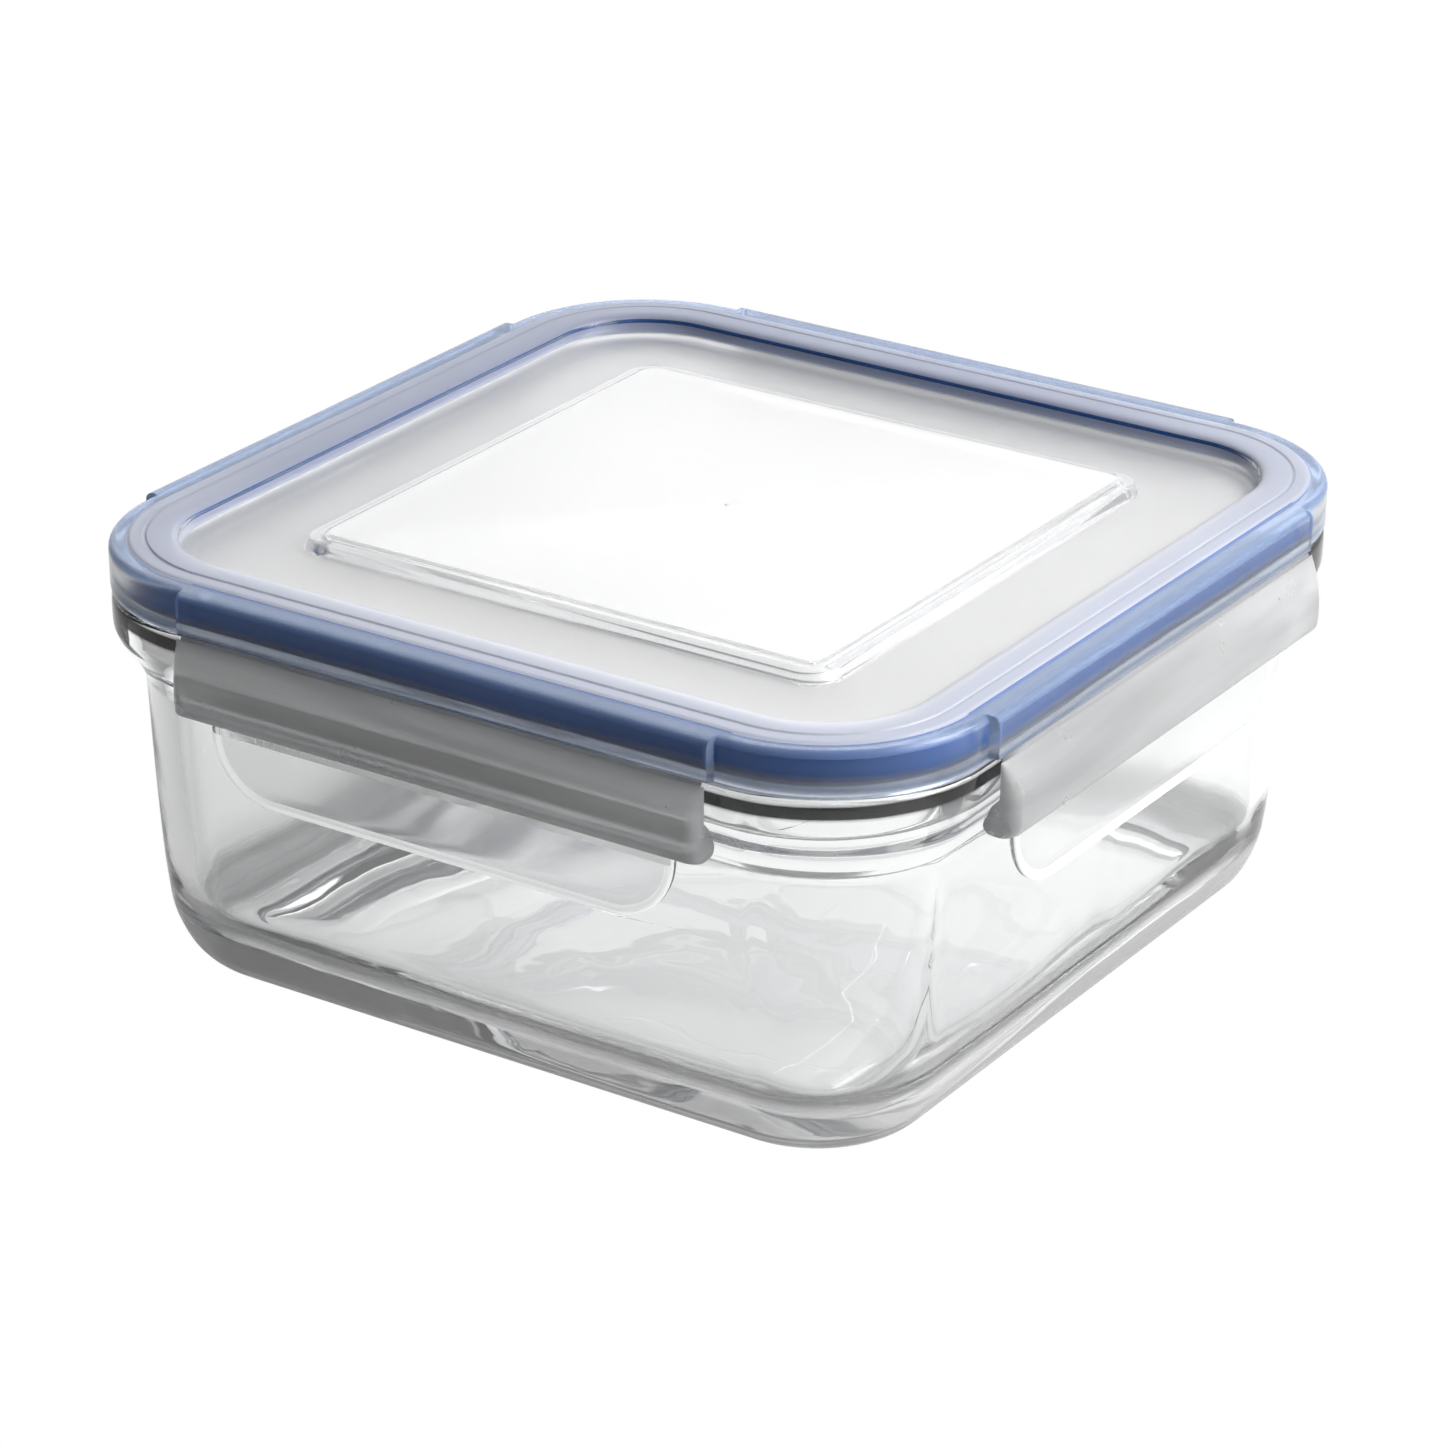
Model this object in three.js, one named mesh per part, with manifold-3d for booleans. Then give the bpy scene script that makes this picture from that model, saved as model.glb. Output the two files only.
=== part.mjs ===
// Square glass food canister with a snap-lock lid.
// Units are millimetres, +Z is up, and the origin is the centre of the foot on the table.
// The four flaps face -Y (front), +X (right), +Y (back) and -X (left).

import * as THREE from 'three';
import { mergeVertices } from 'three/addons/utils/BufferGeometryUtils.js';
import Module from 'manifold-3d';

// ---- driving dimensions -------------------------------------------------------------

const CORNER_CENTRE = 49.3; // corner arcs of every outline are centred here, on X and on Y
const FOOT_CORNER_CENTRE = 47.5; // the same for the foot, whose corners are a little rounder
const FOOT_BLEND_HEIGHT = 9; // height at which the corner centre reaches the upper value
const CORNER_STEPS = 9; // facets in each rounded corner

const FOOT_HALF = 62.3; // outer edge of the flat foot ring
const FOOT_INNER_HALF = 55.5; // inner edge of the flat foot ring
const FOOT_RECESS = 0.9; // how far the middle of the base is raised off the table
const FLOOR_TOP = 6.0; // inside floor of the bowl
const FLANGE_HALF = 76.2; // glass flange the catches hook under
const FLANGE_TOP = 62.9;
const RIM_OUTER_HALF = 73.2; // glass rim that stands up into the lid's channel
const RIM_INNER_HALF = 68.0;
const RIM_TOP = 66.0;

const LID_TOP = 71.2; // top of the raised ring, the highest point of the object
const SKIRT_HALF = 76.3; // outside of the lid's skirt
const SKIRT_INNER_HALF = 73.9;
const SKIRT_BOTTOM = 63.3;
const RING_INNER_HALF = 65.6; // inner edge of the raised ring
const RING_STEP_HALF = 72.1; // small step down from the ring's top to its outer tier
const CHANNEL_ROOF = 69.8; // ceiling of the gasket channel
const CHANNEL_INNER_HALF = 66.6; // inner wall of the gasket channel
const PLUG_INNER_HALF = 65.1; // inside of the rib that hangs into the glass rim
const PLUG_BOTTOM = 64.0;
const DECK_TOP = 67.9; // recessed deck inside the ring
const DECK_THICKNESS = 1.6;
const PANEL_HALF = 48.4; // raised centre panel
const PANEL_CORNER = 5.6;
const PANEL_LEDGE = 69.7; // top of its upright edge, before the sloping border
const PANEL_BORDER = 2.8; // width of that border
const PANEL_TOP = 70.3;

const PAD_FACE = 78.0; // flat pad on the skirt above each flap
const PAD_BOTTOM = 64.0;
const PAD_HALF_LENGTH = 47.8;

const FLAP_HALF_LENGTH = 47.6;
const FLAP_TOP = 63.65;
const FLAP_BOTTOM = 51.8;
const FLAP_FACE = 80.85; // furthest point of the bulging outer face
const FLAP_INNER = 78.15; // inner face of the slab, hung from the pad's outer edge
const FLAP_END_RADIUS = 2.2; // rounding of the slab's upright outer edges
const SHELF_TOP = 52.9; // shelf along the slab's foot that carries the lip
const LIP_HALF_LENGTH = 42;
const LIP_BOTTOM = 39.1;
const LIP_CORNER = 11;
const LIP_OUTER = 77.35;
const LIP_INNER = 76.4; // just clear of the glass flange
const RIB_HALF_LENGTH = 47.2;
const RIB_ROOT = 78.05;
const RIB_TIP = 75.15; // how far in the catch reaches under the flange

const WEB_OUTER = 78.05; // living hinge between the pad and the flap
const WEB_INNER = 77.6;
const WEB_BOTTOM = 63.45;
const WEB_TOP = 63.95;
const WEB_HALF_LENGTH = 46.8;

const GASKET_OUTER_HALF = 73.6;
const GASKET_INNER_HALF = 66.9;
const GASKET_BOTTOM = 66.3;
const GASKET_TOP = 69.5;

// ---- helpers ------------------------------------------------------------------------

// Corner radius of an outline at a given half width and height.
function cornerRadius(half, z) {
  const blend = Math.min(Math.max(z / FOOT_BLEND_HEIGHT, 0), 1);
  return half - THREE.MathUtils.lerp(FOOT_CORNER_CENTRE, CORNER_CENTRE, blend);
}

// Points of a rounded square, anticlockwise seen from above.
function roundedSquare(half, z, radius = cornerRadius(half, z)) {
  const points = [];
  const centre = half - radius;
  const signs = [[1, 1], [-1, 1], [-1, -1], [1, -1]];
  signs.forEach(([sx, sy], corner) => {
    for (let k = 0; k <= CORNER_STEPS; k += 1) {
      const angle = (corner + k / CORNER_STEPS) * (Math.PI / 2);
      const x = sx * centre + radius * Math.cos(angle);
      const y = sy * centre + radius * Math.sin(angle);
      points.push([x, y, z]);
    }
  });
  return points;
}

// Skin through a list of outlines. An open list gets a flat cap at each end, a closed
// one joins its last outline to its first.
function loft(profile, closed = false) {
  const sections = profile.map(([half, z, radius]) => roundedSquare(half, z, radius));
  const count = sections[0].length;
  const positions = sections.flat(2);
  const index = [];
  const spans = closed ? sections.length : sections.length - 1;
  for (let s = 0; s < spans; s += 1) {
    const lower = s * count;
    const upper = ((s + 1) % sections.length) * count;
    for (let k = 0; k < count; k += 1) {
      const next = (k + 1) % count;
      index.push(lower + k, lower + next, upper + next);
      index.push(lower + k, upper + next, upper + k);
    }
  }
  if (!closed) {
    const last = (sections.length - 1) * count;
    const startCentre = positions.length / 3;
    positions.push(0, 0, profile[0][1]);
    positions.push(0, 0, profile[profile.length - 1][1]);
    for (let k = 0; k < count; k += 1) {
      const next = (k + 1) % count;
      index.push(startCentre, next, k);
      index.push(startCentre + 1, last + k, last + next);
    }
  }
  const geometry = new THREE.BufferGeometry();
  geometry.setAttribute('position', new THREE.Float32BufferAttribute(positions, 3));
  geometry.setIndex(index);
  return geometry;
}

// Bar on the +X side: a profile of [distance out, height] pairs drawn out along Y.
function sideBar(profile, halfLength) {
  const shape = new THREE.Shape(profile.map(([out, z]) => new THREE.Vector2(out, z)));
  const geometry = new THREE.ExtrudeGeometry(shape, { depth: 2 * halfLength, bevelEnabled: false });
  geometry.rotateX(Math.PI / 2);
  geometry.translate(0, halfLength, 0);
  return geometry;
}

// Plate on the +X side: an outline in the Y-Z plane given a thickness along X.
function sidePlate(shape, inner, thickness) {
  const geometry = new THREE.ExtrudeGeometry(shape, {
    depth: thickness,
    bevelEnabled: false,
    curveSegments: 10,
  });
  const toSide = new THREE.Matrix4().makeBasis(
    new THREE.Vector3(0, 1, 0),
    new THREE.Vector3(0, 0, 1),
    new THREE.Vector3(1, 0, 0),
  );
  geometry.applyMatrix4(toSide);
  geometry.translate(inner, 0, 0);
  return geometry;
}

const wasm = await Module();
wasm.setup();

function toSolid(source) {
  const geometry = source.clone();
  geometry.deleteAttribute('normal');
  geometry.deleteAttribute('uv');
  const merged = mergeVertices(geometry, 1e-4);
  return new wasm.Manifold(new wasm.Mesh({
    numProp: 3,
    vertProperties: new Float32Array(merged.attributes.position.array),
    triVerts: new Uint32Array(merged.index.array),
  }));
}

function toGeometry(solid) {
  const mesh = solid.getMesh();
  const geometry = new THREE.BufferGeometry();
  geometry.setAttribute('position', new THREE.BufferAttribute(mesh.vertProperties, 3));
  geometry.setIndex(new THREE.BufferAttribute(mesh.triVerts, 1));
  return geometry;
}

const SIDES = [
  { name: 'right', turn: 0 },
  { name: 'back', turn: Math.PI / 2 },
  { name: 'left', turn: Math.PI },
  { name: 'front', turn: -Math.PI / 2 },
];

// ---- glass body ---------------------------------------------------------------------

function glassBody() {
  const outside = [
    [FOOT_INNER_HALF - 1.2, FOOT_RECESS],
    [FOOT_INNER_HALF, 0],
    [FOOT_HALF, 0],
    [63.7, 0.6],
    [65.2, 1.8],
    [66.6, 3.6],
    [67.7, 6.0],
    [68.6, 9.0],
    [69.2, 13.0],
    [69.9, 20.0],
    [70.7, 33.0],
    [71.35, 47.0],
    [71.6, 48.8],
    [72.3, 50.2],
    [73.4, 51.8],
    [74.6, 53.2],
    [75.5, 54.6],
    [76.0, 56.0],
    [FLANGE_HALF, 57.6],
    [FLANGE_HALF, 61.7],
    [75.8, 62.6],
    [75.0, FLANGE_TOP],
    [73.5, FLANGE_TOP],
    [RIM_OUTER_HALF, 63.3],
    [RIM_OUTER_HALF - 0.1, 64.6],
    [72.5, 65.6],
    [71.7, RIM_TOP],
  ];
  const inside = [
    [69.3, RIM_TOP],
    [68.4, 65.6],
    [RIM_INNER_HALF, 64.8],
    [67.4, 61.0],
    [66.9, 50.0],
    [66.2, 35.0],
    [65.4, 20.0],
    [64.8, 14.5],
    [63.6, 10.8],
    [61.4, 8.0],
    [58.5, 6.5],
    [55.0, FLOOR_TOP],
  ];
  return loft([...outside, ...inside]);
}

// ---- lid ----------------------------------------------------------------------------

function lidShell() {
  const deckUnder = DECK_TOP - DECK_THICKNESS;
  const panelUnder = PANEL_TOP - DECK_THICKNESS;
  const under = [
    [PANEL_HALF - 3.4, panelUnder, PANEL_CORNER - 2.8],
    [PANEL_HALF - 1.8, deckUnder, PANEL_CORNER - 1.6],
    [PLUG_INNER_HALF - 1.6, deckUnder],
    [PLUG_INNER_HALF, deckUnder - 0.9],
    [PLUG_INNER_HALF + 0.2, PLUG_BOTTOM],
    [CHANNEL_INNER_HALF - 0.3, PLUG_BOTTOM],
    [CHANNEL_INNER_HALF, PLUG_BOTTOM + 0.4],
    [CHANNEL_INNER_HALF, CHANNEL_ROOF],
    [SKIRT_INNER_HALF, CHANNEL_ROOF],
    [SKIRT_INNER_HALF, SKIRT_BOTTOM],
  ];
  const over = [
    [SKIRT_HALF - 0.4, SKIRT_BOTTOM],
    [SKIRT_HALF, SKIRT_BOTTOM + 0.4],
    [SKIRT_HALF + 0.1, LID_TOP - 1.8],
    [SKIRT_HALF - 0.3, LID_TOP - 0.9],
    [SKIRT_HALF - 1.2, LID_TOP - 0.4],
    [RING_STEP_HALF + 0.3, LID_TOP - 0.35],
    [RING_STEP_HALF - 0.3, LID_TOP],
    [RING_INNER_HALF + 1.3, LID_TOP],
    [RING_INNER_HALF + 0.4, LID_TOP - 0.35],
    [RING_INNER_HALF, LID_TOP - 1.2],
    [RING_INNER_HALF - 0.6, DECK_TOP + 1.0],
    [RING_INNER_HALF - 1.5, DECK_TOP + 0.3],
    [RING_INNER_HALF - 2.9, DECK_TOP],
    [PANEL_HALF + 0.5, DECK_TOP, PANEL_CORNER + 0.5],
    [PANEL_HALF, DECK_TOP + 0.5, PANEL_CORNER],
    [PANEL_HALF - 0.2, PANEL_LEDGE - 0.3, PANEL_CORNER - 0.2],
    [PANEL_HALF - 0.5, PANEL_LEDGE, PANEL_CORNER - 0.5],
    [PANEL_HALF - PANEL_BORDER, PANEL_TOP - 0.2, PANEL_CORNER - 2.4],
    [PANEL_HALF - PANEL_BORDER - 0.4, PANEL_TOP, PANEL_CORNER - 2.8],
  ];
  const pad = sideBar([
    [SKIRT_HALF - 1.0, PAD_BOTTOM],
    [PAD_FACE, PAD_BOTTOM],
    [PAD_FACE, LID_TOP - 1.7],
    [PAD_FACE - 0.4, LID_TOP - 0.9],
    [PAD_FACE - 1.3, LID_TOP - 0.45],
    [SKIRT_HALF - 1.0, LID_TOP - 0.45],
  ], PAD_HALF_LENGTH);
  let lid = toSolid(loft([...under, ...over]));
  SIDES.forEach(({ turn }) => {
    lid = lid.add(toSolid(pad.clone().rotateZ(turn)));
  });
  return toGeometry(lid);
}

function gasketRing() {
  const corner = 0.6;
  return loft([
    [GASKET_INNER_HALF + corner, GASKET_BOTTOM],
    [GASKET_OUTER_HALF - corner, GASKET_BOTTOM],
    [GASKET_OUTER_HALF, GASKET_BOTTOM + corner],
    [GASKET_OUTER_HALF, GASKET_TOP - corner],
    [GASKET_OUTER_HALF - corner, GASKET_TOP],
    [GASKET_INNER_HALF + corner, GASKET_TOP],
    [GASKET_INNER_HALF, GASKET_TOP - corner],
    [GASKET_INNER_HALF, GASKET_BOTTOM + corner],
  ], true);
}

// ---- snap-lock flaps ----------------------------------------------------------------

function flapSlab() {
  const bar = sideBar([
    [LIP_INNER, FLAP_BOTTOM],
    [80.1, FLAP_BOTTOM],
    [80.5, 52.3],
    [80.75, 53.4],
    [FLAP_FACE, 55.2],
    [80.8, 57.0],
    [80.55, 59.0],
    [80.2, 60.4],
    [79.8, 61.5],
    [79.25, 62.5],
    [78.7, 63.25],
    [78.25, FLAP_TOP],
    [FLAP_INNER, 63.5],
    [FLAP_INNER, SHELF_TOP],
    [LIP_INNER, SHELF_TOP],
  ], FLAP_HALF_LENGTH);
  const plan = new THREE.Shape();
  plan.moveTo(LIP_INNER - 1, -FLAP_HALF_LENGTH);
  plan.lineTo(FLAP_FACE - FLAP_END_RADIUS, -FLAP_HALF_LENGTH);
  plan.absarc(FLAP_FACE - FLAP_END_RADIUS, FLAP_END_RADIUS - FLAP_HALF_LENGTH,
    FLAP_END_RADIUS, -Math.PI / 2, 0, false);
  plan.absarc(FLAP_FACE - FLAP_END_RADIUS, FLAP_HALF_LENGTH - FLAP_END_RADIUS,
    FLAP_END_RADIUS, 0, Math.PI / 2, false);
  plan.lineTo(LIP_INNER - 1, FLAP_HALF_LENGTH);
  const trim = new THREE.ExtrudeGeometry(plan, {
    depth: FLAP_TOP - FLAP_BOTTOM + 2,
    bevelEnabled: false,
    curveSegments: 5,
  });
  trim.translate(0, 0, FLAP_BOTTOM - 1);
  return toSolid(bar).intersect(toSolid(trim));
}

function pullLip() {
  const flare = 0.8;
  const shape = new THREE.Shape();
  shape.moveTo(-LIP_HALF_LENGTH, FLAP_BOTTOM + flare);
  shape.lineTo(-LIP_HALF_LENGTH, LIP_BOTTOM + LIP_CORNER);
  shape.absarc(LIP_CORNER - LIP_HALF_LENGTH, LIP_BOTTOM + LIP_CORNER,
    LIP_CORNER, Math.PI, Math.PI * 1.5, false);
  shape.absarc(LIP_HALF_LENGTH - LIP_CORNER, LIP_BOTTOM + LIP_CORNER,
    LIP_CORNER, Math.PI * 1.5, Math.PI * 2, false);
  shape.lineTo(LIP_HALF_LENGTH, FLAP_BOTTOM + flare);
  return toSolid(sidePlate(shape, LIP_INNER, LIP_OUTER - LIP_INNER));
}

// The rib's sloping top follows the underside of the glass flange.
function catchRib() {
  return sideBar([
    [75.8, 52.35],
    [LIP_INNER - 0.15, 52.3],
    [LIP_INNER - 0.15, SHELF_TOP + 0.1],
    [RIB_ROOT, SHELF_TOP + 0.1],
    [RIB_ROOT, 57.75],
    [77.5, 57.25],
    [76.75, 56.6],
    [76.15, 55.6],
    [75.75, 54.7],
    [75.35, 53.9],
    [RIB_TIP, 53.3],
    [75.3, 52.7],
  ], RIB_HALF_LENGTH);
}

function hingeWeb() {
  return sideBar([
    [WEB_INNER, WEB_BOTTOM],
    [WEB_OUTER, WEB_BOTTOM],
    [WEB_OUTER, WEB_TOP],
    [WEB_INNER, WEB_TOP],
  ], WEB_HALF_LENGTH);
}

// ---- assembly -----------------------------------------------------------------------

function material(color, roughness, opacity = 1) {
  return new THREE.MeshStandardMaterial({
    color,
    roughness,
    metalness: 0,
    transparent: opacity < 1,
    opacity,
  });
}

const canister = new THREE.Group();
canister.name = 'glass_canister';

function addPart(name, geometry, surface) {
  const mesh = new THREE.Mesh(geometry, surface);
  mesh.name = name;
  canister.add(mesh);
}

addPart('glass_body', glassBody(), material(0xdfe6e8, 0.05, 0.35));
addPart('lid_shell', lidShell(), material(0xe4e6ea, 0.35));
addPart('gasket', gasketRing(), material(0x2f5aa0, 0.6));

const flapGeometry = toGeometry(flapSlab().add(pullLip()));
SIDES.forEach(({ name, turn }) => {
  addPart(`flap_${name}`, flapGeometry.clone().rotateZ(turn), material(0xd6d8da, 0.35));
  addPart(`catch_rib_${name}`, catchRib().rotateZ(turn), material(0xcfd2d4, 0.4));
  addPart(`hinge_web_${name}`, hingeWeb().rotateZ(turn), material(0xc4c8cc, 0.4));
});

export default canister;
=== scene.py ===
import bpy
import bmesh
import math
from mathutils import Matrix, Vector, noise

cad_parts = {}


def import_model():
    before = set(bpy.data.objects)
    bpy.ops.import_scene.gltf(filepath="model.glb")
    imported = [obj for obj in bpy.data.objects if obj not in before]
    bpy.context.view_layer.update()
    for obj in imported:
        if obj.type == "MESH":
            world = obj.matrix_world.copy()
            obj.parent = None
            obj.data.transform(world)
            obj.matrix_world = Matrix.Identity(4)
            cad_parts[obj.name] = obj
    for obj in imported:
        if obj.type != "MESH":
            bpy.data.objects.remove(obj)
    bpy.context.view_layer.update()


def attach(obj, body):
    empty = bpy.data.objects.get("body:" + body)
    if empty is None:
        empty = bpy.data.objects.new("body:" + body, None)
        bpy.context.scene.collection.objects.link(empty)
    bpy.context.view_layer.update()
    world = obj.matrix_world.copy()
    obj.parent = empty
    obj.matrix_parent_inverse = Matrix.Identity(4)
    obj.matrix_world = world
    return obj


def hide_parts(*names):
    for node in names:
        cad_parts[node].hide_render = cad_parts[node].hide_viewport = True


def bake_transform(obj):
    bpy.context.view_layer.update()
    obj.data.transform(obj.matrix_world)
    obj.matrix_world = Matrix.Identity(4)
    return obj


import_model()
MM = 0.001

# ---- dimensions, in millimetres -------------------------------------------------------

# Every part's plan is a square with rounded corners. The corners of all the parts share one
# centre, which moves inward near the foot of the glass.
CORNER_CENTRE = 49.3
FOOT_CORNER_CENTRE = 47.5
FOOT_BLEND_HEIGHT = 9.0
CORNER_STEPS = 20
# The flat pad that stands out from the lid's side over each flap.
PAD_DEPTH = 1.6
PAD_HALF = 47.8
PAD_FACE = 76.0
# How far out the lid's surface changes from one plastic to the next.
PANEL_BORDER = 45.0
PANEL_EDGE = 48.6
DECK_EDGE = 64.8
SHOULDER_EDGE = 73.5

# A side's name, its body, and the turn about Z that brings the +X side round to it.
SIDES = (
    ("right", "flap_r", 0.0),
    ("back", "flap_b", math.pi / 2),
    ("left", "flap_l", math.pi),
    ("front", "flap_f", -math.pi / 2),
)


# ---- mesh helpers ---------------------------------------------------------------------

def corner_radius(half, z):
    """The corners' radius where the half width is half, at a height."""
    blend = min(max(z / FOOT_BLEND_HEIGHT, 0.0), 1.0)
    return half - (FOOT_CORNER_CENTRE + (CORNER_CENTRE - FOOT_CORNER_CENTRE) * blend)


def outline(half, z, radius=None, pad=0.0, columns=()):
    """Points of a rounded square. Columns are extra places along each straight side,
    and pad pushes out those of them that lie on a flap pad."""
    if radius is None:
        radius = corner_radius(half, z)
    centre = half - radius
    points = []
    for corner in range(4):
        turn = Matrix.Rotation(corner * math.pi / 2, 3, "Z")
        for s in columns:
            out = half + (pad if abs(s) <= PAD_HALF + 1e-6 else 0.0)
            points.append(turn @ Vector((out, min(max(s, -centre), centre), z)))
        for k in range(CORNER_STEPS + 1):
            a = k / CORNER_STEPS * math.pi / 2
            x, y = centre + radius * math.cos(a), centre + radius * math.sin(a)
            points.append(turn @ Vector((x, y, z)))
    return points


def smooth_profile(points, steps=4, sharp=()):
    """Catmull-Rom through a list of (half, z) pairs, straight into and out of the sharp ones."""
    out = []
    n = len(points)
    for i in range(n - 1):
        p1, p2 = Vector(points[i]), Vector(points[i + 1])
        p0 = p1 - (p2 - p1) if i == 0 or i in sharp else Vector(points[i - 1])
        p3 = p2 + (p2 - p1) if i + 2 >= n or i + 1 in sharp else Vector(points[i + 2])
        for k in range(steps):
            t = k / steps
            q = 0.5 * ((2 * p1) + (p2 - p0) * t + (2 * p0 - 5 * p1 + 4 * p2 - p3) * t * t
                       + (3 * p1 - p0 - 3 * p2 + p3) * t ** 3)
            out.append((q.x, q.y))
    out.append(tuple(points[-1]))
    return out


def spread(half, steps):
    """Evenly spaced places from -half to half."""
    return [-half + 2 * half * k / steps for k in range(steps + 1)]


def skin(bm, rings):
    """Joins each ring of vertices to the next one with a closed band of quads."""
    for lower, upper in zip(rings, rings[1:]):
        count = len(lower)
        for k in range(count):
            n = (k + 1) % count
            bm.faces.new((lower[k], lower[n], upper[n], upper[k]))


def loft(name, sections, closed=False):
    """Skin through outlines, in millimetres, that all have the same number of points. A
    closed one joins the last outline to the first; an open one is capped at both ends."""
    bm = bmesh.new()
    rings = [[bm.verts.new(p * MM) for p in section] for section in sections]
    if closed:
        skin(bm, rings + rings[:1])
    else:
        skin(bm, rings)
        bm.faces.new(list(reversed(rings[0])))
        bm.faces.new(rings[-1])
    bmesh.ops.remove_doubles(bm, verts=bm.verts, dist=1e-7)
    return finish_mesh(name, bm)


def bar_mesh(rings):
    """A bar along a side through rings of (out, along, height) in millimetres, capped."""
    bm = bmesh.new()
    verts = [[bm.verts.new(Vector(p) * MM) for p in ring] for ring in rings]
    skin(bm, verts)
    bm.faces.new(verts[0])
    bm.faces.new(list(reversed(verts[-1])))
    return bm


def finish_mesh(name, bm, smooth=True):
    mesh = bpy.data.meshes.new(name)
    bmesh.ops.recalc_face_normals(bm, faces=bm.faces)
    bm.to_mesh(mesh)
    bm.free()
    if smooth:
        mesh.shade_smooth()
    obj = bpy.data.objects.new(name, mesh)
    bpy.context.scene.collection.objects.link(obj)
    return obj


def sharpen(obj, degrees):
    """Marks edges sharper than an angle, so that shading breaks there."""
    bm = bmesh.new()
    bm.from_mesh(obj.data)
    for e in bm.edges:
        e.smooth = not (len(e.link_faces) == 2 and e.calc_face_angle(0.0) > math.radians(degrees))
    bm.to_mesh(obj.data)
    bm.free()


def apply_modifiers(obj):
    dg = bpy.context.evaluated_depsgraph_get()
    mesh = bpy.data.meshes.new_from_object(obj.evaluated_get(dg))
    old = obj.data
    obj.modifiers.clear()
    obj.data = mesh
    bpy.data.meshes.remove(old)


def add_materials(obj, materials):
    for material in materials:
        obj.data.materials.append(material)


# ---- materials ------------------------------------------------------------------------

GLASS_IOR = 1.5
PLASTIC_IOR = 1.42
# Most of a noise texture's values lie in here.
NOISE_SPAN = (0.3, 0.7)


def new_material(name):
    m = bpy.data.materials.new(name)
    m.use_nodes = True
    nt = m.node_tree
    return m, nt, nt.nodes["Principled BSDF"]


def feed(nt, socket, value):
    """Links a socket to another one, or sets it to a constant."""
    if isinstance(value, bpy.types.NodeSocket):
        nt.links.new(value, socket)
    else:
        socket.default_value = value


def math_node(nt, operation, *values):
    n = nt.nodes.new("ShaderNodeMath")
    n.operation = operation
    for socket, value in zip(n.inputs, values):
        feed(nt, socket, value)
    return n.outputs["Value"]


def vector_node(nt, operation, *values):
    n = nt.nodes.new("ShaderNodeVectorMath")
    n.operation = operation
    for socket, value in zip(n.inputs, values):
        feed(nt, socket, value)
    return n.outputs["Value" if operation in ("DOT_PRODUCT", "LENGTH") else "Vector"]


def coords_node(nt, kind="Object"):
    return nt.nodes.new("ShaderNodeTexCoord").outputs[kind]


def noise_node(nt, scale, detail=3.0, rough=0.5, distort=0.0, stretch=1.0):
    """Noise over the object. A stretch above 1 makes its features run level round it."""
    n = nt.nodes.new("ShaderNodeTexNoise")
    n.inputs["Scale"].default_value = scale
    n.inputs["Detail"].default_value = detail
    n.inputs["Roughness"].default_value = rough
    n.inputs["Distortion"].default_value = distort
    place = coords_node(nt)
    if stretch != 1.0:
        place = vector_node(nt, "MULTIPLY", place, (1.0, 1.0, stretch))
    nt.links.new(place, n.inputs["Vector"])
    return n.outputs["Fac"]


def ramp(nt, source, colour_low, colour_high):
    """A colour that noise moves between two others."""
    r = nt.nodes.new("ShaderNodeValToRGB")
    first, last = r.color_ramp.elements
    first.position, last.position = NOISE_SPAN
    first.color, last.color = colour_low, colour_high
    nt.links.new(source, r.inputs["Fac"])
    return r.outputs["Color"]


def map_range(nt, source, low, high, to_low, to_high, smooth=False):
    r = nt.nodes.new("ShaderNodeMapRange")
    if smooth:
        r.interpolation_type = "SMOOTHSTEP"
    r.inputs["From Min"].default_value = low
    r.inputs["From Max"].default_value = high
    r.inputs["To Min"].default_value = to_low
    r.inputs["To Max"].default_value = to_high
    nt.links.new(source, r.inputs["Value"])
    return r.outputs["Result"]


def reach_node(nt):
    """How far out a point is, in metres, measured across the rounded square."""
    # The third value is far above any height, so that height doesn't count.
    corner = (CORNER_CENTRE * MM, CORNER_CENTRE * MM, 10.0)
    place = vector_node(nt, "ABSOLUTE", coords_node(nt))
    past = vector_node(nt, "MAXIMUM", vector_node(nt, "SUBTRACT", place, corner), (0.0, 0.0, 0.0))
    return math_node(nt, "ADD", vector_node(nt, "LENGTH", past), CORNER_CENTRE * MM)


def height_node(nt, source, wobble):
    """A point's height in metres, made uneven by noise so that a band's edge isn't ruled."""
    apart = nt.nodes.new("ShaderNodeSeparateXYZ")
    nt.links.new(coords_node(nt), apart.inputs["Vector"])
    return math_node(nt, "ADD", apart.outputs["Z"], map_range(nt, source, *NOISE_SPAN, -wobble, wobble))


def band_node(nt, height, low, high, soft):
    """1 between two heights and 0 outside them."""
    up = map_range(nt, height, low - soft, low + soft, 0.0, 1.0)
    down = map_range(nt, height, high - soft, high + soft, 1.0, 0.0)
    return math_node(nt, "MULTIPLY", up, down)


def mix_colour(nt, factor, low, high):
    """Colour between low and high; each is a constant colour or a socket."""
    mix = nt.nodes.new("ShaderNodeMix")
    mix.data_type = "RGBA"
    nt.links.new(factor, mix.inputs[0])
    feed(nt, mix.inputs[6], low)
    feed(nt, mix.inputs[7], high)
    return mix.outputs[2]


def vary(nt, socket, source, low, high, span=NOISE_SPAN):
    """Lets noise move a socket between two values."""
    nt.links.new(map_range(nt, source, *span, low, high), socket)


def add_bump(nt, bsdf, source, distance, strength):
    bump = nt.nodes.new("ShaderNodeBump")
    bump.inputs["Distance"].default_value = distance
    bump.inputs["Strength"].default_value = strength
    nt.links.new(source, bump.inputs["Height"])
    nt.links.new(bump.outputs["Normal"], bsdf.inputs["Normal"])


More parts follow.
